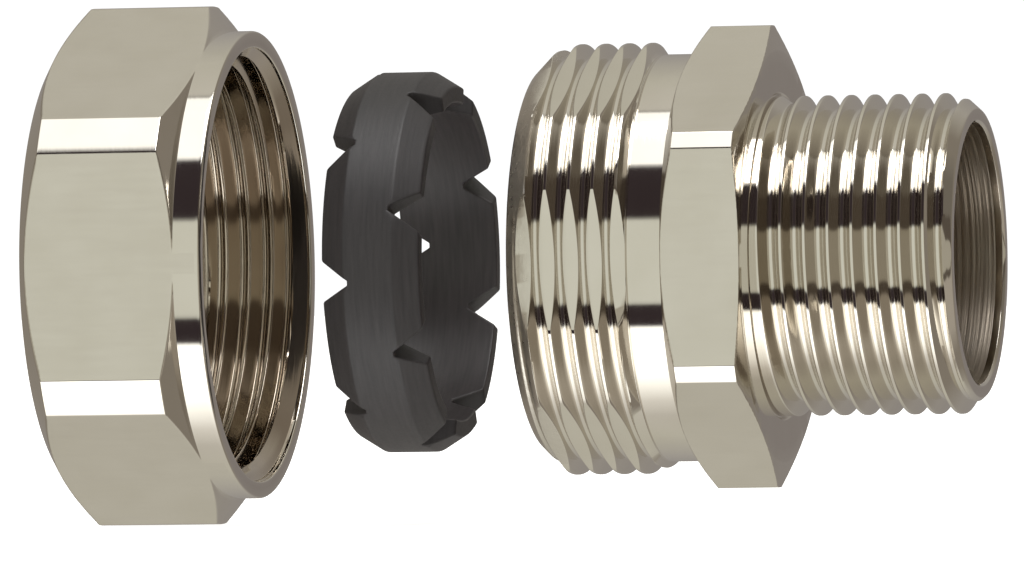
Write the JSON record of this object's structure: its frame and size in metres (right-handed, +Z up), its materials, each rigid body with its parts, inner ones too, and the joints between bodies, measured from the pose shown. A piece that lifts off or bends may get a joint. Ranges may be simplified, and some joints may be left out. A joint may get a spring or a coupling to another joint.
{
  "type": "cable gland",
  "caption": "Threaded metal gland shown apart: hexagonal body with a male thread at each end, notched clamping ring and hexagonal cap nut.",
  "frame": {"origin": "on the gland's axis, in the plane of the hexagon's seating face, where the body meets a wall", "axes": "+X along the axis towards the entry thread, +Z up, one flat of each hexagon faces -Y"},
  "size_m": [0.0582, 0.0295, 0.0326],
  "materials": {
    "plated_brass": "nickel-plated, turned and lightly polished",
    "dark_polymer": "moulded, satin, charcoal",
    "pale_polymer": "turned, satin, natural"
  },
  "bodies": {
    "body": {"gland_body": "plated_brass"},
    "ring": {"clamping_ring": "dark_polymer"},
    "thrust": {"thrust_ring": "pale_polymer"},
    "nut": {"cap_nut": "plated_brass"}
  },
  "joints": [
    {"name": "nut_turn", "type": "hinge", "parent": "thrust", "child": "nut", "pos_m": [-0.04, 0, 0], "axis": [1, 0, 0], "range_deg": [0, 5580]},
    {"name": "nut_advance", "type": "slide", "parent": "body", "child": "thrust", "axis": [1, 0, 0], "range_m": [0, 0.02325]},
    {"name": "ring_travel", "type": "slide", "parent": "body", "child": "ring", "axis": [1, 0, 0], "range_m": [0, 0.0069]}
  ],
  "couplings": [
    {"joint": "nut_advance", "follows": "nut_turn", "m_per_rad": 0.00023873},
    {"joint": "ring_travel", "follows": "nut_turn", "m_per_rad": 0.00007085}
  ]
}
